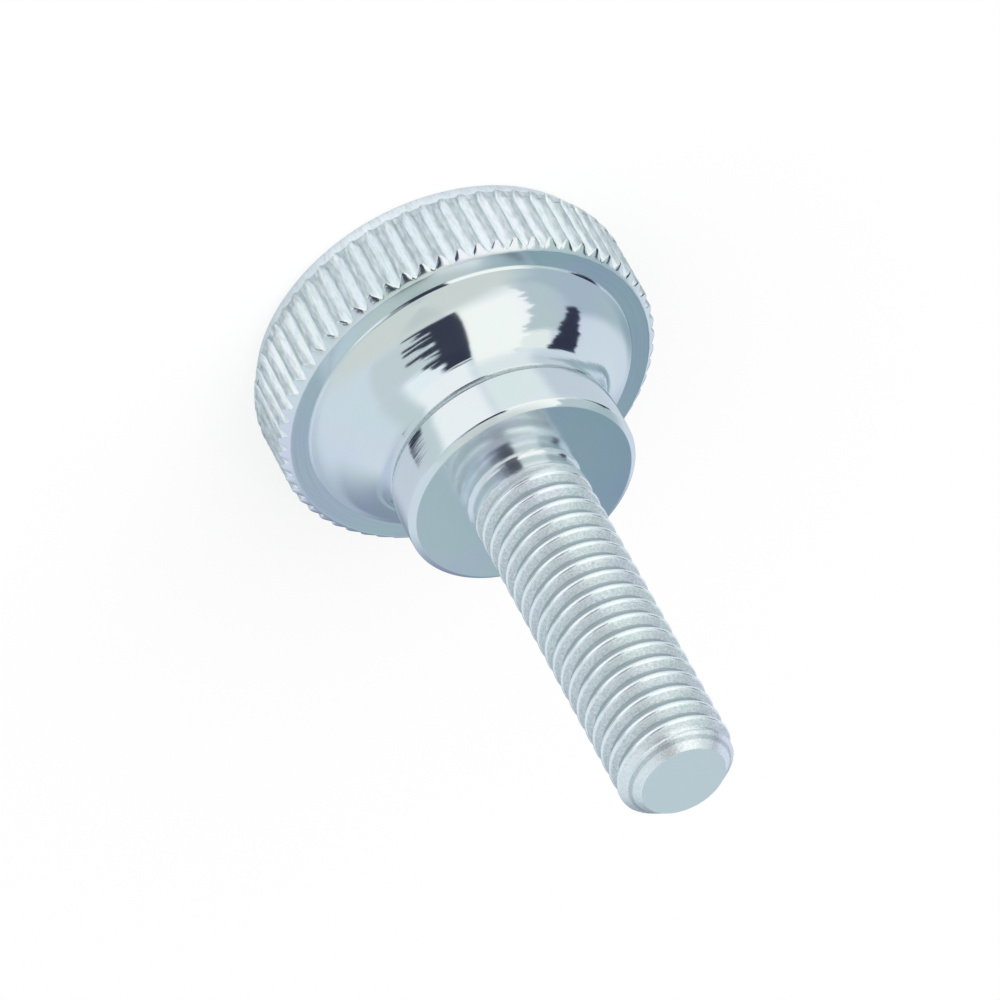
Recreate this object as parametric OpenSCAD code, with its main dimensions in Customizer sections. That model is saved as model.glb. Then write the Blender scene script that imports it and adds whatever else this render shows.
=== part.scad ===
// Knurled thumb screw, high form, turned from one bar.
// It stands on its head: the flat top of the head is at z = 0 and the tip is up.

/* [Head] */
// Diameter over the knurl
head_d = 20; // [17:0.5:30]
// Height of the head, from its flat top to the seating face
head_h = 12; // [10.5:0.5:18]
// Height of the knurled rim
rim_h = 5; // [3:0.5:6.5]
// Bevel between the knurl and the ring under the rim
rim_bevel = 0.45; // [0.2:0.05:0.8]
// Height of the plain margin at the flat top, where the knurl stops
margin_h = 0.7; // [0.3:0.1:1.2]
// Depth of the margin below the knurl's crests
margin_depth = 0.43; // [0.1:0.01:0.6]
// Taper of the margin towards the flat top
margin_taper = 0.1; // [0:0.05:0.4]

/* [Knurl] */
// Spacing of the straight knurl's grooves around the rim
knurl_pitch = 1; // [0.7:0.1:1.6]
// Depth of each groove
knurl_depth = 0.4; // [0.2:0.05:0.5]

/* [Flare] */
// Width of the flat ring under the rim, outside the step
ring_w = 0.95; // [0.4:0.05:1.6]
// Width of the sloping step between the ring and the flare
step_w = 0.3; // [0.1:0.05:0.6]
// Height of the step
step_h = 0.2; // [0.1:0.05:0.5]
// Height of the straight waist between the flare and the collar
waist_h = 0.65; // [0.3:0.05:1]

/* [Collar] */
// Diameter of the collar
collar_d = 12; // [10:0.1:13]
// Height of the collar
collar_h = 2.6; // [1.5:0.1:3.2]
// Distance that the collar stands out of the waist, and the radius of its edge there
collar_lip = 0.15; // [0.05:0.05:0.4]
// Width of the chamfer between the collar and the seating face
seat_chamfer = 0.35; // [0.1:0.05:0.8]
// Height of that chamfer
seat_chamfer_h = 0.25; // [0.1:0.05:0.8]

/* [Shank] */
// Length under the head, from the seating face to the tip
shank_l = 20; // [8:1:40]
// Length of the neck between the seating face and the thread
neck_l = 1; // [0.6:0.1:2]
// Depth of the neck below the thread's nominal diameter
neck_depth = 0.25; // [0.1:0.05:0.6]
// Radius of the fillet where the neck meets the seating face
neck_fillet = 0.3; // [0.1:0.05:0.5]
// Chamfer at the tip
tip_chamfer = 0.85; // [0.4:0.05:1.5]

/* [Thread] */
// Nominal diameter of the thread
thread_d = 6; // [5:0.5:8]

/* [Hidden] */
// Sides of a full circle in the preview mesh
$fn = 180;
// Overlap between shapes that are joined, and the overrun of cutters
lap = 0.5;

head_r = head_d / 2;
margin_r = head_r - margin_depth;
collar_r = collar_d / 2;
waist_r = collar_r - collar_lip;
thread_r = thread_d / 2;
neck_r = thread_r - neck_depth;
tip_r = thread_r - tip_chamfer;

// Heights of the turned features above the flat top of the head
flare_z = rim_h + step_h;
collar_z = head_h - collar_h;
waist_z = collar_z - waist_h;
thread_z = head_h + neck_l;
tip_z = head_h + shank_l;

// The flare is one arc: it ends upright at the waist and passes through the step's edge
step_r = head_r - rim_bevel - ring_w;
flare_edge_r = step_r - step_w;
flare_reach = flare_edge_r - waist_r;
flare_rise = waist_z - flare_z;
flare_r = (pow(flare_reach, 2) + pow(flare_rise, 2)) / (2 * flare_reach);

// Whole number of knurl grooves that comes nearest to the chosen spacing
knurl_count = round(PI * head_d / knurl_pitch);

// Half section of the rim: plain margin, run-out of the knurl at 45 degrees, bevelled edge
module rim_section() {
    polygon([
        [0, 0],
        [margin_r - margin_taper, 0],
        [margin_r, margin_h],
        [head_r, margin_h + margin_depth],
        [head_r, rim_h - rim_bevel],
        [head_r - rim_bevel, rim_h],
        [0, rim_h]
    ]);
}

// Half section of the step and of the hollow flare down to the waist
module flare_section() {
    polygon([
        [0, rim_h - lap],
        [step_r, rim_h - lap],
        [step_r, rim_h],
        [flare_edge_r, flare_z],
        [0, flare_z]
    ]);
    difference() {
        translate([0, flare_z - lap])
            square([flare_edge_r, flare_rise + lap]);
        translate([waist_r + flare_r, waist_z])
            circle(r = flare_r);
    }
}

// Half section of the straight waist and of the collar beyond it
module collar_section() {
    translate([0, waist_z - lap])
        square([waist_r, waist_h + lap * 2]);
    translate([waist_r, collar_z + collar_lip])
        circle(r = collar_lip);
    polygon([
        [0, collar_z],
        [waist_r, collar_z],
        [waist_r, collar_z + collar_lip],
        [collar_r, collar_z + collar_lip],
        [collar_r, head_h - seat_chamfer_h],
        [collar_r - seat_chamfer, head_h],
        [0, head_h]
    ]);
}

// Half section of the shank: filleted neck, thread to its nominal diameter, chamfered tip
module shank_section() {
    difference() {
        translate([0, head_h - lap])
            square([neck_r + neck_fillet, neck_fillet + lap]);
        translate([neck_r + neck_fillet, head_h + neck_fillet])
            circle(r = neck_fillet);
    }
    polygon([
        [0, head_h],
        [neck_r, head_h],
        [neck_r, thread_z],
        [thread_r, thread_z + neck_depth],
        [thread_r, tip_z - tip_chamfer],
        [tip_r, tip_z],
        [0, tip_z]
    ]);
}

// One V groove of the straight knurl, at the +X side, open outwards
module knurl_groove() {
    translate([head_r - knurl_depth + lap * 2, 0, -lap])
        cylinder(r = lap * 2, h = rim_h + lap * 2, $fn = 4);
}

module thumb_screw() {
    color("lightsteelblue")
        difference() {
            rotate_extrude() {
                rim_section();
                flare_section();
                collar_section();
                shank_section();
            }
            for (i = [0 : knurl_count - 1])
                rotate([0, 0, i * 360 / knurl_count])
                    knurl_groove();
        }
}

thumb_screw();
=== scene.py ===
import math

import bmesh
import bpy
from mathutils import Euler, Matrix, Vector


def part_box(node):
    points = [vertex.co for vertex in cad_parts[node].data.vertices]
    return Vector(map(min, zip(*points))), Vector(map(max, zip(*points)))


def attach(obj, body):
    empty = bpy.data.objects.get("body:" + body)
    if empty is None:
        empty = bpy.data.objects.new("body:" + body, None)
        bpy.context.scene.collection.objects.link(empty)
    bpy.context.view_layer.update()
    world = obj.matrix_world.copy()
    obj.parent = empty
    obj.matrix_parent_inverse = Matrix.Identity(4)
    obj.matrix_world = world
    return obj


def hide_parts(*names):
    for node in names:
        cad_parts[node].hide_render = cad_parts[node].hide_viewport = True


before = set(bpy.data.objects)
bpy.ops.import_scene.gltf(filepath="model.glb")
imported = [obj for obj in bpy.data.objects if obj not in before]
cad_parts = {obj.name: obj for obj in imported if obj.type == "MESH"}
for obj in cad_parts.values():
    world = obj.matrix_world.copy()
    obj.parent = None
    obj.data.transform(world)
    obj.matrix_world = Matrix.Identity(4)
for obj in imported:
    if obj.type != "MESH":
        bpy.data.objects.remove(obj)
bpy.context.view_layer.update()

bl_info = {
    "name": "Knurled Thumb Screw",
    "version": (1, 0, 0),
    "blender": (4, 5, 0),
    "location": "3D View > Sidebar > Thumb Screw",
    "description": "Builds a zinc-plated thumb screw with a knurled head and a rolled thread",
    "category": "Add Mesh",
}

MM = 0.001
NODE = "thumb_screw"
SCREW_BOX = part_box(NODE)

# Two corners of a mesh that lie nearer than this are one
MERGE = 0.002 * MM
# Smallest height at which a face is told from the one beside it
SKIN = 0.01 * MM
# Edges that bend more than this stay sharp, in degrees
SHARP = 38
# Columns of the mesh around the flare and the collar, and rows along the flare's arc
HEAD_COLUMNS = 252
FLARE_STEPS = 40
# Points in the rim's outline, and how many of them lie along the knurl
RIM_ROWS = 33
KNURL_ROWS = 16
# Where the first of the knurl's rows lies and the next follows, as shares of the rim's height
KNURL_FOOT = 0.28
KNURL_STEP = 0.037
# How many lumps of noise fill a metre: lathe rings and bands, clouds and drifts of tint, grain
RINGS = 9000.0
BANDS = 1500.0
CLOUDS = 170.0
DRIFTS = 330.0
GRAIN = 7000.0
# Half the side of the floor, in metres
FLOOR_HALF = 1.5
# Side that the tent lights most, in degrees
LIT_AZIMUTH = -14.0
# Colours of the dark things that the metal mirrors, and of plain white
DARK = (0.036, 0.042, 0.072)
WHITE = (1.0, 1.0, 1.0)


# Sizes, colours and lights that a user may change

def length(name, description, millimetres):
    """A size in metres, given here in millimetres."""
    return bpy.props.FloatProperty(
        name=name,
        description=description,
        default=millimetres * MM,
        min=0.0,
        precision=5,
        unit="LENGTH",
    )


def angle(name, description, degrees):
    """An angle, given here in degrees."""
    return bpy.props.FloatProperty(
        name=name,
        description=description,
        default=math.radians(degrees),
        subtype="ANGLE",
    )


def level(name, description, value, highest=1.0):
    """A plain number between nothing and a highest value."""
    return bpy.props.FloatProperty(
        name=name,
        description=description,
        default=value,
        min=0.0,
        max=highest,
    )


def count(name, description, value):
    """A whole number of copies or steps."""
    return bpy.props.IntProperty(
        name=name,
        description=description,
        default=value,
        min=1,
    )


def colour(name, description, value):
    """A colour, as red, green and blue."""
    return bpy.props.FloatVectorProperty(
        name=name,
        description=description,
        default=value,
        size=3,
        min=0.0,
        max=1.0,
        subtype="COLOR",
    )


class HeadSizes(bpy.types.PropertyGroup):
    """Sizes of the knurled rim, the flare and the collar."""

    diameter: length("Diameter", "Diameter over the knurl", 20)
    height: length("Height", "From the flat top to the seating face", 12)
    rim_height: length("Rim Height", "Height of the knurled rim", 5)
    bevel: length("Bevel", "Bevel between the knurl and the ring under the rim", 0.45)
    margin_height: length("Margin Height", "Plain margin at the flat top", 0.7)
    margin_depth: length("Margin Depth", "Depth of the margin below the knurl's crests", 0.43)
    margin_taper: length("Margin Taper", "Taper of the margin towards the flat top", 0.1)
    grooves: count("Grooves", "Number of knurl grooves around the rim", 63)
    groove_depth: length("Groove Depth", "Depth of each knurl groove", 0.4)
    crest_share: level("Crest Share", "Part of the knurl's spacing that stays as a flat crest", 0.2)
    groove_steps: count("Groove Steps", "Columns of the mesh across one knurl groove", 20)
    ring_width: length("Ring Width", "Width of the flat ring under the rim", 0.95)
    step_width: length("Step Width", "Width of the sloping step between ring and flare", 0.3)
    step_height: length("Step Height", "Height of that step", 0.2)
    waist_height: length("Waist Height", "Straight waist between the flare and the collar", 0.65)
    collar_diameter: length("Collar Diameter", "Diameter of the collar", 12)
    collar_height: length("Collar Height", "Height of the collar", 2.6)
    collar_lip: length("Collar Lip", "Distance that the collar stands out of the waist", 0.15)
    seat_chamfer: length("Seat Chamfer", "Width of the chamfer at the seating face", 0.35)
    seat_chamfer_height: length("Seat Chamfer Height", "Height of that chamfer", 0.25)
    lumps: length("Lumps", "Unevenness of the rolled knurl", 0.10)
    collar_crown: length("Collar Crown", "Swell of the collar at half its height", 0.015)
    line_depth: length("Line Depth", "Depth of the turned line below the collar", 0.09)
    edge_round: length("Edge Round", "Radius that tumbling and plating leave on sharp edges", 0.07)


class ShankSizes(bpy.types.PropertyGroup):
    """Sizes of the neck, the thread and the tip."""

    diameter: length("Diameter", "Nominal diameter of the thread, over its crests", 6)
    pitch: length("Pitch", "Distance between two crests of the thread", 1)
    length: length("Length", "From the seating face to the tip", 20)
    neck_length: length("Neck Length", "Neck between the seating face and the thread", 0.85)
    neck_depth: length("Neck Depth", "Depth of the neck below the crests", 0.25)
    neck_fillet: length("Neck Fillet", "Radius where the neck meets the seating face", 0.3)
    tip_chamfer: length("Tip Chamfer", "Chamfer at the tip", 0.85)
    first_crest: length("First Crest", "Height of a crest above the seating face, on the X axis", 1.825)
    thread_depth: length("Thread Depth", "Depth of the thread below its crests", 0.36)
    crest_width: length("Crest Width", "Width of the flat crests", 0.13)
    fade_turns: level("Fade Turns", "Turns over which the groove sinks to its full depth", 0.5, 3.0)
    columns: count("Columns", "Columns of the mesh around the thread", 108)
    rows: count("Rows", "Rows of the mesh along one pitch", 24)


class ZincFinish(bpy.types.PropertyGroup):
    """Colours and wear of the bright zinc plating, and the painted shade and highlight that it carries."""

    plate: colour("Plating", "Blue-white of the plating", (0.80, 0.855, 0.88))
    lilac: colour("Lilac Tint", "Faint lilac that the passivation leaves", (0.80, 0.80, 0.93))
    green: colour("Green Tint", "Faint green that the passivation leaves", (0.76, 0.87, 0.85))
    # The pale colour also makes a painted highlight along the thread's crests
    pale: colour("Pale Plating", "Matt plating on rolled and cut steel", (0.88, 0.95, 0.97))
    # The darker colour also paints shade into the turned line, the neck and the thread's flanks and roots
    dull_and_shade: colour("Dull Plating", "Plating where the bath works less", (0.28, 0.36, 0.39))
    dull_and_shade_strength: level("Dullness", "How strongly the dull plating shows", 0.9)
    mottling: level("Mottling", "Unevenness of the plating on rolled steel", 1.3, 5.0)
    scatter: level("Scatter", "Share of the light that rolled steel scatters", 0.60)
    turned_roughness: level("Turned Roughness", "Roughness of the turned faces", 0.08)
    faced_roughness: level("Faced Roughness", "Roughness of the seating face", 0.15)
    rolled_roughness: level("Rolled Roughness", "Roughness of the knurl and the thread", 0.40)
    cut_roughness: level("Cut Roughness", "Roughness of the cut end of the bar", 0.50)
    ring_marks: length("Ring Marks", "Depth of the rings that the lathe leaves", 0.004)
    grain_marks: length("Grain Marks", "Depth of the grain on rolled steel", 0.012)


class StageLooks(bpy.types.PropertyGroup):
    """The floor, the tent around the screw, the lamps and the camera."""

    floor: colour("Floor", "Colour of the floor", (0.97, 0.97, 0.97))
    shadow: level("Shadow", "Share of its real shadow that the floor shows", 0.28)
    tent: level("Tent", "Light from the tent's cloth", 0.97, 2.0)
    azimuth: angle("Camera Azimuth", "Side that the camera looks from", -9.10)
    elevation: angle("Camera Elevation", "Height that the camera looks from", 39.15)
    roll: angle("Camera Roll", "Turn of the camera about its line of sight", 151.25)
    distance: length("Camera Distance", "From the camera to the point it looks at", 372.19)
    lens: bpy.props.FloatProperty(
        name="Lens",
        description="Focal length in millimetres, on a 36 mm sensor",
        default=269.3,
    )
    look_at: bpy.props.FloatVectorProperty(
        name="Look At",
        description="Point at the middle of the camera's view",
        default=(-5.45 * MM, 2.11 * MM, 7.02 * MM),
        size=3,
        subtype="XYZ",
        unit="LENGTH",
    )


# Nodes as Python expressions

class Wire:
    """An output socket. Arithmetic on it adds Math nodes to its tree."""

    def __init__(self, graph, socket):
        self.graph = graph
        self.socket = socket

    def output(self, name):
        """Another output of the same node."""
        return Wire(self.graph, self.socket.node.outputs[name])

    def math(self, operation, *others):
        """A Math node on this value and the others."""
        return self.graph.math(operation, self, *others)

    def __add__(self, other):
        return self.math("ADD", other)

    def __radd__(self, other):
        return self.graph.math("ADD", other, self)

    def __sub__(self, other):
        return self.math("SUBTRACT", other)

    def __rsub__(self, other):
        return self.graph.math("SUBTRACT", other, self)

    def __mul__(self, other):
        return self.math("MULTIPLY", other)

    def __rmul__(self, other):
        return self.graph.math("MULTIPLY", other, self)

    def __truediv__(self, other):
        return self.math("DIVIDE", other)

    def __pow__(self, other):
        return self.math("POWER", other)

    def __abs__(self):
        return self.math("ABSOLUTE")

    def least(self, other):
        """The smaller of two values."""
        return self.math("MINIMUM", other)

    def most(self, other):
        """The larger of two values."""
        return self.math("MAXIMUM", other)

    def within(self, low=0.0, high=1.0):
        """The value, held between two limits."""
        return self.most(low).least(high)

    def soft_most(self, other, ease):
        """The larger of two values, with the bend between them eased."""
        return self.math("SMOOTH_MAX", other, ease)

    def soft_least(self, other, ease):
        """The smaller of two values, with the bend between them eased."""
        return self.math("SMOOTH_MIN", other, ease)

    def ramp(self, low, high):
        """0 below one value, 1 above another, and a soft S between them."""
        settings = {"interpolation_type": "SMOOTHSTEP"}
        inputs = {"Value": self, "From Min": low, "From Max": high}
        return self.graph.node("ShaderNodeMapRange", settings, inputs)


class Graph:
    """Adds nodes to one tree."""

    def __init__(self, tree):
        self.tree = tree

    def node(self, kind, settings=None, inputs=None):
        """A new node with its settings made first, then its sockets filled. Gives its first output."""
        made = self.tree.nodes.new(kind)
        for name, value in (settings or {}).items():
            setattr(made, name, value)
        for key, value in (inputs or {}).items():
            self.feed(made, key, value)
        shown = [socket for socket in made.outputs if socket.enabled]
        return Wire(self, shown[0]) if shown else made

    def feed(self, node, key, value):
        """Sets or links the input with that number, or the shown one with that name."""
        if isinstance(key, int):
            socket = node.inputs[key]
        else:
            socket = next(s for s in node.inputs if s.enabled and s.name == key)
        if isinstance(value, Wire):
            self.tree.links.new(value.socket, socket)
        else:
            socket.default_value = value

    def math(self, operation, *values):
        """A Math node on these values."""
        return self.node("ShaderNodeMath", {"operation": operation}, dict(enumerate(values)))

    def vector(self, x=0.0, y=0.0, z=0.0):
        """Three values as one vector."""
        return self.node("ShaderNodeCombineXYZ", inputs={"X": x, "Y": y, "Z": z})

    def noise(self, spot, detail=2.0):
        """Soft noise at a spot given as a vector, about one lump for each unit."""
        return self.node("ShaderNodeTexNoise", inputs={"Vector": spot, "Scale": 1.0, "Detail": detail})

    def blend(self, factor, first, second):
        """One colour where the factor is 0, another where it is 1."""
        inputs = {"Factor": factor, "A": first, "B": second}
        return self.node("ShaderNodeMix", {"data_type": "RGBA"}, inputs)


def rgba(colour_value):
    """A colour property as the four numbers that a socket takes."""
    return (*colour_value, 1.0)


# Meshes

def new_piece(name, mesh):
    """An object at the origin that shows this mesh."""
    piece = bpy.data.objects.new(name, mesh)
    bpy.context.scene.collection.objects.link(piece)
    return piece


def plain_mesh(piece):
    """Puts what a piece's modifiers make into its mesh, and takes them off."""
    depsgraph = bpy.context.evaluated_depsgraph_get()
    plain = bpy.data.meshes.new_from_object(piece.evaluated_get(depsgraph), depsgraph=depsgraph)
    piece.modifiers.clear()
    piece.data = plain
    plain.name = piece.name
    return plain


def finish_piece(piece, material):
    """Gives a piece its finish, and its place in the frame."""
    mesh = piece.data
    mesh.polygons.foreach_set("use_smooth", [True] * len(mesh.polygons))
    mesh.set_sharp_from_angle(angle=math.radians(SHARP))
    # Wide faces stay flat to the eye, and only the narrow ones between them turn the light
    weighted = piece.modifiers.new("Weighted Normals", "WEIGHTED_NORMAL")
    weighted.keep_sharp = True
    mesh = plain_mesh(piece)
    mesh.materials.clear()
    mesh.materials.append(material)
    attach(piece, "root")
    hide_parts(NODE)


def turned_mesh(name, outline, columns):
    """A closed solid turned from an outline of (radius, height), from its axis and back to it."""
    work = bmesh.new()
    rings = []
    for radius, height in outline:
        if radius < MERGE:
            rings.append([work.verts.new((0.0, 0.0, height))] * columns)
            continue
        ring = []
        for column in range(columns):
            turn = math.tau * column / columns
            ring.append(work.verts.new((radius * math.cos(turn), radius * math.sin(turn), height)))
        rings.append(ring)
    for lower, upper in zip(rings, rings[1:]):
        for column in range(columns):
            after = (column + 1) % columns
            corners = [lower[column], lower[after], upper[after], upper[column]]
            work.faces.new(dict.fromkeys(corners))
    bmesh.ops.recalc_face_normals(work, faces=work.faces)
    mesh = bpy.data.meshes.new(name)
    work.to_mesh(mesh)
    work.free()
    return mesh


def eased(corners, steps=4):
    """An outline whose corners, given as (radius, height, rounding), are rounded."""
    outline = []
    last = len(corners) - 1
    for index, (radius, height, rounding) in enumerate(corners):
        here = Vector((radius, height))
        if rounding == 0.0 or index in (0, last):
            outline.append((radius, height))
            continue
        back = (Vector(corners[index - 1][:2]) - here).normalized()
        ahead = (Vector(corners[index + 1][:2]) - here).normalized()
        half_angle = back.angle(ahead) / 2
        reach = rounding / math.tan(half_angle)
        start = here + back * reach
        end = here + ahead * reach
        for step in range(steps + 1):
            share = step / steps
            pulled = start * (1 - share) ** 2 + here * 2 * share * (1 - share) + end * share ** 2
            outline.append((pulled.x, pulled.y))
    return outline


def geometry_graph(name, sizes):
    """A Geometry Nodes tree with one named input for each size: its graph and its inputs' wires."""
    tree = bpy.data.node_groups.new(name, "GeometryNodeTree")
    tree.interface.new_socket("Geometry", in_out="OUTPUT", socket_type="NodeSocketGeometry")
    kinds = {int: "NodeSocketInt", float: "NodeSocketFloat"}
    for label, value in sizes.items():
        tree.interface.new_socket(label, in_out="INPUT", socket_type=kinds[type(value)])
    tree.interface.new_socket("Material", in_out="INPUT", socket_type="NodeSocketMaterial")
    graph = Graph(tree)
    entry = graph.node("NodeGroupInput")
    return graph, {label: entry.output(label) for label in [*sizes, "Material"]}


def wrapped_grid(graph, columns, rows, place):
    """A grid whose points are moved by place(turn, row) to (radius, angle, height), then joined up."""
    grid_inputs = {"Size X": 1.0, "Size Y": 1.0, "Vertices X": columns + 1, "Vertices Y": rows}
    grid = graph.node("GeometryNodeMeshGrid", inputs=grid_inputs)
    spot = graph.node("GeometryNodeInputPosition")
    parts = graph.node("ShaderNodeSeparateXYZ", inputs={"Vector": spot})
    turn = parts + 0.5
    row = ((parts.output("Y") + 0.5) * (rows - 1)).math("ROUND")
    radius, height = place(turn, row)
    bearing = turn * math.tau
    target = graph.vector(radius * bearing.math("COSINE"), radius * bearing.math("SINE"), height)
    moved = graph.node("GeometryNodeSetPosition", inputs={"Geometry": grid, "Position": target})
    return graph.node("GeometryNodeMergeByDistance", inputs={"Geometry": moved, "Distance": MERGE})


def close_graph(graph, mesh, material):
    """Ends a tree in plain geometry with its material."""
    real = graph.node("GeometryNodeRealizeInstances", inputs={"Geometry": mesh})
    dressed = graph.node("GeometryNodeSetMaterial", inputs={"Geometry": real, "Material": material})
    graph.node("NodeGroupOutput", inputs={"Geometry": dressed})


def built_by(graph, name, sizes, material):
    """The plain mesh that a tree makes from these sizes, in a new object."""
    piece = new_piece(name, bpy.data.meshes.new(name))
    modifier = piece.modifiers.new(name, "NODES")
    modifier.node_group = graph.tree
    values = {**sizes, "Material": material}
    for item in graph.tree.interface.items_tree:
        if item.in_out == "INPUT":
            modifier[item.identifier] = values[item.name]
    outward(plain_mesh(piece))
    return piece


def outward(mesh):
    """Turns a closed mesh's faces outwards."""
    work = bmesh.new()
    work.from_mesh(mesh)
    bmesh.ops.dissolve_degenerate(work, edges=work.edges, dist=MERGE / 4)
    bmesh.ops.recalc_face_normals(work, faces=work.faces)
    work.to_mesh(mesh)
    work.free()


def rim_graph(sizes):
    """The rim: an outline that goes once around, and whose radius dips at each knurl groove."""
    graph, size = geometry_graph("Knurled Rim", sizes)
    edge = size["Edge Round"]
    radius = size["Radius"]
    top = size["Height"]
    margin_r = radius - size["Margin Depth"]
    margin_z = size["Margin Height"]
    base_r = margin_r - size["Margin Taper"]
    ring_r = size["Ring Radius"]
    bevel_r = radius - size["Bevel"]
    columns = size["Grooves"] * size["Groove Steps"]

    def place(turn, row):
        # 0 in the middle of a groove, 1 in the middle of a crest
        groove = turn * size["Grooves"]
        across = abs(groove - groove.math("ROUND")) * 2.0
        soft = (across * across + 0.006) ** 0.5
        slope = 1.0 - soft / (1.0 - size["Crest Share"])
        skin = radius - size["Groove Depth"] * slope.soft_most(0.0, 0.16)
        start_z = margin_z + skin - margin_r
        end_z = top - size["Bevel"] + radius - skin
        # The rolled metal is a little lumpy between the ends of the grooves
        lumps = graph.noise(graph.vector(groove * 2.6, 0.0, row * 0.7))
        rolled = skin - (lumps - 0.35).most(0.0) * size["Lumps"]

        def run_out(part):
            return margin_r + (skin - margin_r) * part, margin_z + (skin - margin_r) * part

        def shallow(part, rise):
            return radius - (radius - skin) * part, start_z + rise

        def bevel(part):
            return skin + (bevel_r - skin) * part, end_z + (top - end_z) * part

        points = [
            (0.0, 0.0),
            (base_r - edge * 12.0, 0.0),
            (base_r - edge, 0.0),
            (base_r, edge),
            (margin_r - edge * 0.2, margin_z - edge),
            run_out(0.15),
            run_out(0.85),
            shallow(0.35, edge),
            shallow(0.75, edge * 5.0),
            *((rolled, top * (KNURL_FOOT + KNURL_STEP * part)) for part in range(KNURL_ROWS)),
            (skin, end_z - edge * 0.6),
            bevel(0.10),
            bevel(0.92),
            (bevel_r - edge * 0.6, top),
            (bevel_r - edge * 1.4, top),
            (ring_r + edge, top),
            (ring_r - edge, top),
            (0.0, top),
        ]
        return pick(graph, row, points)

    mesh = wrapped_grid(graph, columns, RIM_ROWS, place)
    close_graph(graph, mesh, size["Material"])
    return graph


def pick(graph, row, points):
    """The (radius, height) whose place in the list is the row's number."""
    chosen = []
    for axis in (0, 1):
        switch = graph.tree.nodes.new("GeometryNodeIndexSwitch")
        switch.data_type = "FLOAT"
        while len(switch.index_switch_items) < len(points):
            switch.index_switch_items.new()
        graph.feed(switch, 0, row)
        for number, point in enumerate(points):
            graph.feed(switch, number + 1, point[axis])
        chosen.append(Wire(graph, switch.outputs[0]))
    return chosen


def shank_graph(sizes):
    """The shank: rows that climb with the thread, cut off by the neck, the chamfer and the ends."""
    graph, size = geometry_graph("Threaded Shank", sizes)
    pitch = size["Pitch"]
    radius = size["Radius"]
    first = size["First Crest"]
    rows_per_pitch = size["Rows"]
    foot = size["Foot"]
    tip = size["Tip"]
    below = ((foot - first) / pitch - 1.0).math("FLOOR")
    above = ((tip - first) / pitch).math("CEIL")
    climbing = (above - below) * rows_per_pitch
    rows = climbing + 4.0

    def place(turn, row):
        step = below + (row - 1.0) / rows_per_pitch
        free_z = first + pitch * (turn + step)
        z = free_z.most(foot).least(tip)
        # Distance from the middle of a crest in pitches, and from the middle of the groove
        climb = (z - first) / pitch - turn
        groove = climb.math("FLOOR") + 0.5
        off_crest = 0.5 - abs(climb - groove)
        crest = size["Crest Width"] / pitch / 2.0
        slope = (off_crest - crest) / (0.44 - crest)
        fill = slope.soft_most(0.0, 0.08).soft_least(1.0, 0.14)
        groove_z = first + pitch * (groove + turn)
        sunk = ((groove_z - size["Groove Start"]) / (pitch * size["Fade Turns"])).within()
        cut = radius - size["Thread Depth"] * fill * sunk
        # The blank: fillet, neck, run-in and tip chamfer
        under = (size["Face"] + size["Fillet"] - z).within(0.0, size["Fillet"])
        curve = (size["Fillet"] * size["Fillet"] - under * under).most(0.0) ** 0.5
        neck = size["Neck Radius"] + size["Fillet"] - curve
        run_in = neck + (z - size["Neck End"]).most(0.0)
        chamfer = size["Tip Radius"] + tip - z
        blank = run_in.least(radius).least(chamfer)
        skin = blank.soft_least(cut, 0.03 * MM)
        # The first and the last rows close the ends on the axis
        at_start = row.math("LESS_THAN", 0.5)
        at_end = row.math("GREATER_THAN", rows - 1.5)
        inner = row.math("GREATER_THAN", rows - 2.5) * size["Edge Round"]
        return (skin - inner).most(0.0) * (1.0 - at_start) * (1.0 - at_end), z

    mesh = wrapped_grid(graph, size["Columns"], rows, place)
    close_graph(graph, mesh, size["Material"])
    return graph


# Finishes

def new_finish(name):
    """A material with only its surface shader: the graph and the shader."""
    material = bpy.data.materials.new(name)
    material.use_nodes = True
    tree = material.node_tree
    return material, Graph(tree), tree.nodes["Principled BSDF"]


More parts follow.
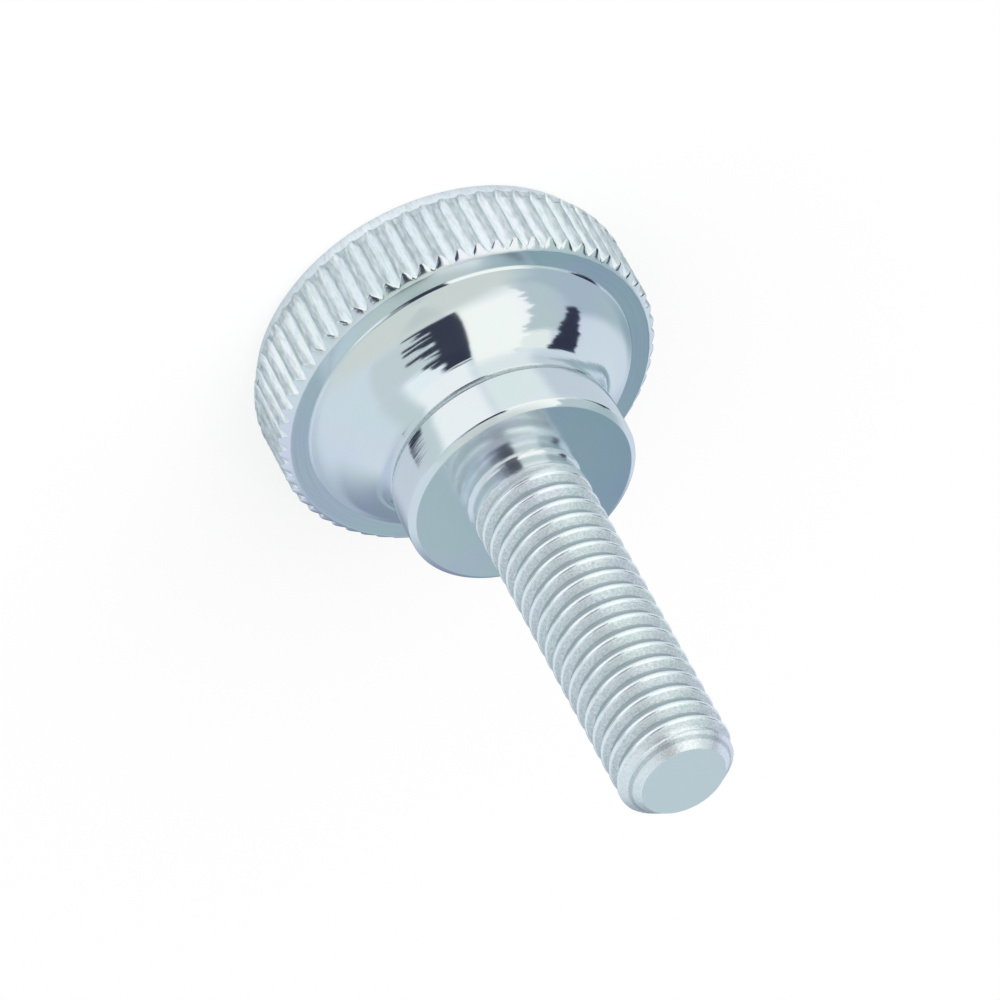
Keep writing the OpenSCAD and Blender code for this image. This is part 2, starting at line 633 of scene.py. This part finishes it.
def zinc_finish(name, finish, zones, grain_stretch=1.0):
    """Bright zinc plating over turned or rolled steel, with faint tints and fine marks.

    zones(radius, height) tells, each from 0 to 1, where the steel was rolled, faced or cut,
    and where its plating is matt, pale or darker. Pale on the thread's crests is a painted highlight,
    and darker in the turned line, the neck and the thread's flanks and roots is painted shade.
    """
    material, graph, shader = new_finish(name)
    place = graph.node("ShaderNodeTexCoord").output("Object")
    parts = graph.node("ShaderNodeSeparateXYZ", inputs={"Vector": place})
    x = parts
    y = parts.output("Y")
    z = parts.output("Z")
    radius = (x * x + y * y + 1e-12) ** 0.5
    zone = zones(radius, z)
    rolled = zone["rolled"]
    # Rings that a lathe leaves: long along the turn, fine along the outline
    along = z + radius * 0.73
    rings = graph.noise(graph.vector(x / radius * 2.2, y / radius * 2.2, along * RINGS))
    bands = graph.noise(graph.vector(x / radius * 1.1, y / radius * 1.1, along * BANDS))
    # Large faint clouds of tint and a fine grain of zinc crystals
    clouds = graph.noise(graph.vector(x * CLOUDS, y * CLOUDS, z * CLOUDS))
    drift = graph.noise(graph.vector(x * DRIFTS + 5.0, y * DRIFTS, z * DRIFTS), 3.0)
    grain = graph.noise(graph.vector(x * GRAIN, y * GRAIN, z * GRAIN * grain_stretch), 3.0)
    tinted = graph.blend(clouds.ramp(0.48, 0.68) * 0.75, rgba(finish.plate), rgba(finish.lilac))
    tinted = graph.blend(drift.ramp(0.50, 0.70) * 0.70, tinted, rgba(finish.green))
    # Paler plating on rolled and cut steel, and a painted highlight on the thread's crests
    tinted = graph.blend(zone["pale"] * 0.8, tinted, rgba(finish.pale))
    # Darker plating: the zones' painted shade in the turned line, the neck and the thread, darker knurl
    # crests, and mottling on rolled steel
    dulled_and_shaded = (zone["dull_and_shade"] + rolled * (grain - 0.5) * finish.mottling).within()
    tinted = graph.blend(dulled_and_shaded * finish.dull_and_shade_strength, tinted, rgba(finish.dull_and_shade))
    graph.feed(shader, "Base Color", tinted)
    graph.feed(shader, "Metallic", 1.0 - zone["matt"] * finish.scatter)
    rough = (bands - 0.5) * 0.05 + finish.turned_roughness
    rough = rough + rolled * (finish.rolled_roughness - finish.turned_roughness + (grain - 0.5) * 0.2)
    rough = rough + zone["faced"] * (finish.faced_roughness - finish.turned_roughness)
    rough = rough + zone["cut"] * (finish.cut_roughness - finish.turned_roughness)
    graph.feed(shader, "Roughness", rough.within(0.03, 0.8))
    turned_height = (rings + bands * 1.5) * (1.0 - zone["faced"] * 0.6) * finish.ring_marks
    rolled_height = grain * finish.grain_marks
    height = turned_height + rolled * (rolled_height - turned_height)
    bump = graph.node("ShaderNodeBump", inputs={"Strength": 1.0, "Distance": 1.0, "Height": height})
    graph.feed(shader, "Normal", bump)
    return material


def floor_finish(looks):
    """A pale floor that shows only a part of the shadow that falls on it."""
    material = bpy.data.materials.new("Studio Floor")
    material.use_nodes = True
    graph = Graph(material.node_tree)
    material.node_tree.nodes.clear()
    cloth = graph.node("ShaderNodeBsdfDiffuse", inputs={"Color": rgba(looks.floor)})
    white = graph.node("ShaderNodeEmission", inputs={"Color": rgba(WHITE), "Strength": 1.0})
    seen = graph.node("ShaderNodeLightPath")
    share = seen * (1.0 - looks.shadow)
    surface = graph.node("ShaderNodeMixShader", inputs={0: share, 1: cloth, 2: white})
    graph.node("ShaderNodeOutputMaterial", inputs={"Surface": surface})
    return material


# Operators

class BuildStep:
    """What every operator here shares."""

    bl_options = {"REGISTER", "UNDO"}

    @property
    def head(self):
        return bpy.context.scene.screw_head

    @property
    def shank(self):
        return bpy.context.scene.screw_shank

    @property
    def zinc(self):
        return bpy.context.scene.screw_zinc

    @property
    def stage(self):
        return bpy.context.scene.screw_stage


class SCREW_OT_rim(BuildStep, bpy.types.Operator):
    """Make the knurled rim with the flat top of the head."""

    bl_idname = "screw.rim"
    bl_label = "Make Knurled Rim"

    def execute(self, context):
        head = self.head
        sizes = {
            "Radius": head.diameter / 2,
            "Height": head.rim_height,
            "Bevel": head.bevel,
            "Margin Height": head.margin_height,
            "Margin Depth": head.margin_depth,
            "Margin Taper": head.margin_taper,
            "Grooves": head.grooves,
            "Groove Depth": head.groove_depth,
            "Crest Share": head.crest_share,
            "Groove Steps": head.groove_steps,
            "Ring Radius": head.diameter / 2 - head.bevel - head.ring_width,
            "Edge Round": head.edge_round,
            "Lumps": head.lumps,
        }
        crest = head.diameter / 2
        shoulder = crest + head.rim_height - head.bevel

        def zones(radius, z):
            rolled = 1.0 - (radius + z).ramp(shoulder - 0.08 * MM, shoulder - 0.02 * MM)
            rolled = rolled * (1.0 - z.ramp(head.rim_height - 0.06 * MM, head.rim_height - 0.02 * MM))
            rolled = rolled * z.ramp(0.0, 0.1 * MM)
            # The knurl's crests and upper flanks get darker plating, which fades out deep in the grooves and
            # at the plain margin
            crests = 1.0 - ((crest - radius) / head.groove_depth).ramp(0.20, 0.70)
            crests = crests * 0.62 * z.ramp(head.margin_height - 0.1 * MM, head.margin_height + 0.3 * MM)
            return {
                "rolled": rolled,
                "faced": 1.0 - rolled,
                "cut": 0.0,
                "matt": rolled * 0.55,
                "pale": rolled,
                "dull_and_shade": rolled * crests,
            }

        material = zinc_finish("Zinc on Knurl", self.zinc, zones, grain_stretch=0.2)
        piece = built_by(rim_graph(sizes), "knurled_rim", sizes, material)
        finish_piece(piece, material)
        return {"FINISHED"}


class SCREW_OT_head(BuildStep, bpy.types.Operator):
    """Make the hollow flare, the waist and the collar."""

    bl_idname = "screw.head"
    bl_label = "Make Flared Head"

    def execute(self, context):
        head = self.head
        ease = head.edge_round
        step_r = head.diameter / 2 - head.bevel - head.ring_width
        foot_r = step_r - head.step_width
        foot_z = head.rim_height + head.step_height
        collar_r = head.collar_diameter / 2
        waist_r = collar_r - head.collar_lip
        collar_z = head.height - head.collar_height
        waist_z = collar_z - head.waist_height
        rim_z = head.rim_height
        lip_z = collar_z + head.collar_lip
        edge_z = head.height - head.seat_chamfer_height
        crown = head.collar_crown
        line = head.line_depth
        line_z = collar_z - line * 1.5
        reach = foot_r - waist_r
        rise = waist_z - foot_z
        flare_r = (reach ** 2 + rise ** 2) / (2 * reach)
        flare = []
        for step in range(1, FLARE_STEPS):
            height = foot_z + rise * step / FLARE_STEPS
            radius = waist_r + flare_r - math.sqrt(flare_r ** 2 - (waist_z - height) ** 2)
            flare.append((radius, height, 0.0))
        corners = [
            (0.0, rim_z - 4 * ease, 0.0),
            (step_r, rim_z - 4 * ease, 0.0),
            (step_r, rim_z, 0.0),
            (step_r - head.step_width * 0.3, rim_z + head.step_height * 0.7, ease / 3),
            (foot_r, foot_z, 0.0),
            *flare,
            (waist_r, waist_z, 0.0),
            (waist_r, line_z - line * 1.8, line * 0.2),
            (waist_r - line, line_z - line * 1.0, line * 0.3),
            (waist_r - line, line_z + line * 0.5, line * 0.3),
            (waist_r, collar_z, 0.0),
            (collar_r - crown, lip_z, ease / 2),
            (collar_r - crown / 4, lip_z + (edge_z - lip_z) * 0.25, 0.0),
            (collar_r, (lip_z + edge_z) / 2, 0.0),
            (collar_r - crown / 4, lip_z + (edge_z - lip_z) * 0.75, 0.0),
            (collar_r - crown, edge_z, ease * 1.6),
            (collar_r - head.seat_chamfer, head.height, ease * 1.6),
            (0.0, head.height, 0.0),
        ]
        mesh = turned_mesh("flared_head", eased(corners), HEAD_COLUMNS)
        piece = new_piece("flared_head", mesh)

        def zones(radius, z):
            # The turned line's groove is darker: painted shade, on rougher and more matt metal
            groove = 1.0 - (abs(z - line_z) / line).ramp(1.1, 1.9)
            flat = z.math("GREATER_THAN", head.height - SKIN)
            return {
                "rolled": groove * 0.5,
                "faced": flat,
                "cut": 0.0,
                "matt": groove * 0.5,
                "pale": 0.0,
                "dull_and_shade": groove * 0.8,
            }

        material = zinc_finish("Zinc on Turning", self.zinc, zones)
        finish_piece(piece, material)
        return {"FINISHED"}


class SCREW_OT_shank(BuildStep, bpy.types.Operator):
    """Make the neck, the rolled thread and the chamfered tip."""

    bl_idname = "screw.shank"
    bl_label = "Make Threaded Shank"

    def execute(self, context):
        shank = self.shank
        face = self.head.height
        sizes = {
            "Radius": shank.diameter / 2,
            "Pitch": shank.pitch,
            "Foot": face - 0.5 * MM,
            "Face": face,
            "Fillet": shank.neck_fillet,
            "Neck Radius": shank.diameter / 2 - shank.neck_depth,
            "Neck End": face + shank.neck_length,
            "First Crest": face + shank.first_crest,
            "Groove Start": face + shank.neck_length + shank.neck_depth,
            "Fade Turns": shank.fade_turns,
            "Thread Depth": shank.thread_depth,
            "Crest Width": shank.crest_width,
            "Tip": face + shank.length,
            "Tip Radius": shank.diameter / 2 - shank.tip_chamfer,
            "Edge Round": self.head.edge_round,
            "Columns": shank.columns,
            "Rows": shank.rows,
        }
        crest = shank.diameter / 2
        thread_z = face + shank.neck_length + shank.neck_depth
        tip_z = face + shank.length

        def zones(radius, z):
            end = z.math("GREATER_THAN", tip_z - SKIN)
            below = (crest - radius) / shank.thread_depth
            threaded = z.ramp(thread_z - 0.15 * MM, thread_z + 0.1 * MM)
            before_tip = 1.0 - z.ramp(tip_z - shank.tip_chamfer * 1.2, tip_z - shank.tip_chamfer)
            # Painted shade darkens the neck next to the seating face, and a darker band runs around the
            # chamfer
            in_neck = z.ramp(face + 0.15 * MM, face + 0.35 * MM)
            in_neck = in_neck * (1.0 - z.ramp(face + 0.50 * MM, face + 0.80 * MM))
            scored = z.ramp(tip_z - 0.52 * MM, tip_z - 0.46 * MM)
            scored = scored * (1.0 - z.ramp(tip_z - 0.36 * MM, tip_z - 0.30 * MM))
            # The crests are smoother, and their paler plating is a painted highlight
            smooth_crests_and_highlight = (1.0 - below.ramp(0.04, 0.22)) * before_tip * threaded
            rolled = threaded * (1.0 - smooth_crests_and_highlight * 0.6) * (0.60 + before_tip * 0.40)
            rolled = rolled.most(0.14) * (1.0 - end)
            # Painted shade: the flanks darken below the crests, and the roots darken most, short of the tip
            flank = (0.10 + before_tip * 0.42) * below.ramp(0.08, 0.25)
            dull_and_shade = flank + 0.90 * before_tip * below.ramp(0.86, 1.0)
            return {
                "rolled": rolled,
                "faced": 0.0,
                "cut": end,
                "matt": rolled * 0.85 + end * 0.20,
                "pale": smooth_crests_and_highlight.most(end),
                "dull_and_shade": (threaded * dull_and_shade + in_neck * 0.42 + scored * 0.50) * (1.0 - end),
            }

        material = zinc_finish("Zinc on Thread", self.zinc, zones, grain_stretch=2.2)
        piece = built_by(shank_graph(sizes), "threaded_shank", sizes, material)
        finish_piece(piece, material)
        return {"FINISHED"}


def tent_light(world, looks):
    """The tent: even light for all that is matt, and for the metal its cloth and what stands in it."""
    world.use_nodes = True
    graph = Graph(world.node_tree)
    world.node_tree.nodes.clear()
    way = graph.node("ShaderNodeTexCoord").output("Generated")
    parts = graph.node("ShaderNodeSeparateXYZ", inputs={"Vector": way})
    azimuth = parts.output("Y").math("ARCTAN2", parts) * (180 / math.pi)
    elevation = parts.output("Z").math("ARCSINE") * (180 / math.pi)
    frayed = {"noise_dimensions": "1D"}
    fray = graph.node("ShaderNodeTexNoise", frayed, {"W": elevation / 6.0, "Scale": 1.0, "Detail": 1.0})
    fray = (fray - 0.5) * 4.0
    streaks = (fray * 1.8 + 0.5).within() * (9.0 + elevation.ramp(-5.0, 25.0) * 20.0)

    def patch(start, stop, low, high, soft=(4.0, 4.0), rise=(4.0, 4.0)):
        """1 between two azimuths and two elevations, and 0 outside. A side may be worked out too."""
        after = azimuth - start
        before = stop - azimuth
        if isinstance(start, float) and isinstance(stop, float) and stop > 180.0:
            middle = (start + stop) / 2
            off = (azimuth - middle + 180.0).math("FLOORED_MODULO", 360.0) - 180.0
            after = off + (stop - start) / 2
            before = (stop - start) / 2 - off
        wide = after.ramp(-soft[0], soft[0]) * before.ramp(-soft[1], soft[1])
        above = elevation.ramp(low - rise[0], low + rise[0])
        return wide * above * (1.0 - elevation.ramp(high - rise[1], high + rise[1]))

    # Sides of patches that lean with height and are frayed by the lathe's rings
    table_edge = fray * 3.0 - 106.0 - elevation * 0.45
    card_edge = fray * 6.0 - 75.0 - elevation * 0.4
    cloth = rgba((0.71, 0.785, 0.85))
    shapes = [
        # Cloth overhead, below, and on the far side
        (elevation.ramp(50.0, 66.0), (0.71, 0.75, 0.72)),
        (patch(-25.0, 25.0, 66.0, 90.0, (14.0, 14.0), (8.0, 4.0)), (0.62, 0.67, 0.65)),
        (1.0 - elevation.ramp(-38.0, -28.0), (0.64, 0.70, 0.77)),
        (patch(136.0, 252.0, 18.0, 62.0, (14.0, 10.0), (6.0, 6.0)), (0.45, 0.555, 0.60)),
        (patch(170.8, 198.0, 22.0, 56.0, (2.4, 9.0), (6.0, 6.0)), (0.25, 0.36, 0.43)),
        (patch(134.0, 182.0, -90.0, 18.0, (20.0, 8.0), (8.0, 8.0)), (0.27, 0.33, 0.42)),
        # Lit cloth near the camera, and the grey card between
        (patch(-80.0, -22.0, -90.0, -24.0, (8.0, 8.0), (6.0, 6.0)), (0.86, 0.91, 0.91)),
        (patch(-120.0, -60.0, 1.0, 57.0, (6.0, 6.0)), (0.55, 0.64, 0.655)),
        (patch(-98.0, -66.0, -24.0, 2.0, (4.0, 4.0)), (0.92, 0.95, 0.91)),
        (patch(card_edge, -26.0, -26.0, 60.0, (2.0, 3.0), (8.0, 10.0)), (1.07, 1.07, 1.02)),
        (patch(-20.0, 38.0, -90.0, -13.0, (6.0, 8.0), (4.0, 3.0)), (1.0, 1.0, 1.01)),
        (patch(0.0, 40.0, -16.0, 9.0, (3.0, 8.0), (3.0, 6.0)), (0.93, 0.98, 1.01)),
        (patch(0.0, 61.0, 11.0, 57.0, (3.0, 6.0), (6.0, 6.0)), (0.63, 0.70, 0.72)),
        (patch(39.0, 64.0, -60.0, 12.0, (8.0, 8.0), (3.0, 3.0)), (0.63, 0.70, 0.725)),
        # Dark things: beside the tent, at the camera, and on the table
        (patch(fray * 2.0 - 126.0, table_edge, -25.0, 26.0, (1.5, 1.5), (1.5, 1.5)), DARK),
        (patch(-26.5 - elevation * 0.14, streaks - 3.0, -13.5, 60.0, (1.0, 2.0), (1.0, 1.0)), DARK),
        (patch(53.0, fray * 2.0 + 74.0, -60.0, azimuth * 0.17 - 51.5, (1.5, 1.5), (4.0, 0.8)), DARK),
    ]
    for amount, colour_value in shapes:
        cloth = graph.blend(amount, cloth, rgba(colour_value))
    path = graph.node("ShaderNodeLightPath")
    # Matt surfaces get more light from the lit side; the flat floor gets the same everywhere
    lit = math.radians(LIT_AZIMUTH)
    lit_side = parts * math.cos(lit) + parts.output("Y") * math.sin(lit)
    strength = looks.tent * (0.96 + lit_side * 0.95)
    even = graph.node("ShaderNodeBackground", inputs={"Color": rgba(WHITE), "Strength": strength})
    white = graph.node("ShaderNodeBackground", inputs={"Color": rgba(WHITE), "Strength": 1.0})
    mirrored = graph.node("ShaderNodeBackground", inputs={"Color": cloth, "Strength": 1.0})
    light = graph.node("ShaderNodeMixShader", inputs={0: path.output("Is Glossy Ray"), 1: even, 2: mirrored})
    light = graph.node("ShaderNodeMixShader", inputs={0: path, 1: light, 2: white})
    graph.node("ShaderNodeOutputWorld", inputs={"Surface": light})


def softbox(name, azimuth, elevation, distance, side, watts, tint):
    """A square lamp that faces the screw."""
    lamp = bpy.data.lights.new(name, "AREA")
    lamp.shape = "SQUARE"
    lamp.size = side
    lamp.energy = watts
    lamp.color = tint
    holder = bpy.data.objects.new(name, lamp)
    # The tent's cloth already shows the metal what this lamp lights
    holder.visible_glossy = False
    bpy.context.scene.collection.objects.link(holder)
    facing = Euler((math.pi / 2 - elevation, 0.0, azimuth + math.pi / 2)).to_matrix().to_4x4()
    holder.matrix_world = facing @ Matrix.Translation((0.0, 0.0, distance))


class SCREW_OT_stage(BuildStep, bpy.types.Operator):
    """Make the floor, the tent, the lamps and the camera."""

    bl_idname = "screw.stage"
    bl_label = "Make Stage"

    def execute(self, context):
        looks = self.stage
        scene = context.scene
        floor_mesh = bpy.data.meshes.new("studio_floor")
        floor_z = SCREW_BOX[0].z
        around = ((-1, -1), (1, -1), (1, 1), (-1, 1))
        corners = [(FLOOR_HALF * x, FLOOR_HALF * y, floor_z) for x, y in around]
        floor_mesh.from_pydata(corners, [], [(0, 1, 2, 3)])
        floor = new_piece("studio_floor", floor_mesh)
        floor_mesh.materials.append(floor_finish(looks))
        floor.visible_glossy = False
        scene.world = bpy.data.worlds.new("Studio Tent")
        tent_light(scene.world, looks)
        softbox(
            "key_softbox",
            azimuth=math.radians(-62),
            elevation=math.radians(50),
            distance=0.9,
            side=0.60,
            watts=1.4,
            tint=WHITE,
        )
        scene.camera = self.make_camera(looks)
        scene.view_settings.view_transform = "Standard"
        return {"FINISHED"}

    def make_camera(self, looks):
        data = bpy.data.cameras.new("Camera")
        data.sensor_width = 36.0
        data.lens = looks.lens
        data.clip_start = 0.01
        camera = bpy.data.objects.new("Camera", data)
        bpy.context.scene.collection.objects.link(camera)
        facing = Euler((math.pi / 2 - looks.elevation, 0.0, looks.azimuth + math.pi / 2))
        turned = facing.to_matrix().to_4x4() @ Matrix.Rotation(looks.roll, 4, "Z")
        target = Matrix.Translation(Vector(looks.look_at))
        camera.matrix_world = target @ turned @ Matrix.Translation((0.0, 0.0, looks.distance))
        return camera


class SCREW_PT_panel(bpy.types.Panel):
    """The steps in order, with their sizes."""

    bl_label = "Thumb Screw"
    bl_idname = "SCREW_PT_panel"
    bl_space_type = "VIEW_3D"
    bl_region_type = "UI"
    bl_category = "Thumb Screw"

    def draw(self, context):
        scene = context.scene
        for group in (scene.screw_head, scene.screw_shank, scene.screw_zinc, scene.screw_stage):
            box = self.layout.box()
            for name in group.__annotations__:
                box.prop(group, name)
        for step in STEPS:
            self.layout.operator(step.bl_idname)


GROUPS = {
    "screw_head": HeadSizes,
    "screw_shank": ShankSizes,
    "screw_zinc": ZincFinish,
    "screw_stage": StageLooks,
}
STEPS = (SCREW_OT_stage, SCREW_OT_rim, SCREW_OT_head, SCREW_OT_shank)


def register():
    for name, group in GROUPS.items():
        bpy.utils.register_class(group)
        setattr(bpy.types.Scene, name, bpy.props.PointerProperty(type=group))
    for step in STEPS:
        bpy.utils.register_class(step)
    bpy.utils.register_class(SCREW_PT_panel)


def unregister():
    bpy.utils.unregister_class(SCREW_PT_panel)
    for step in reversed(STEPS):
        bpy.utils.unregister_class(step)
    for name, group in reversed(GROUPS.items()):
        delattr(bpy.types.Scene, name)
        bpy.utils.unregister_class(group)


def main():
    register()
    bpy.ops.screw.stage()
    bpy.ops.screw.rim()
    bpy.ops.screw.head()
    bpy.ops.screw.shank()


if __name__ == "__main__":
    main()
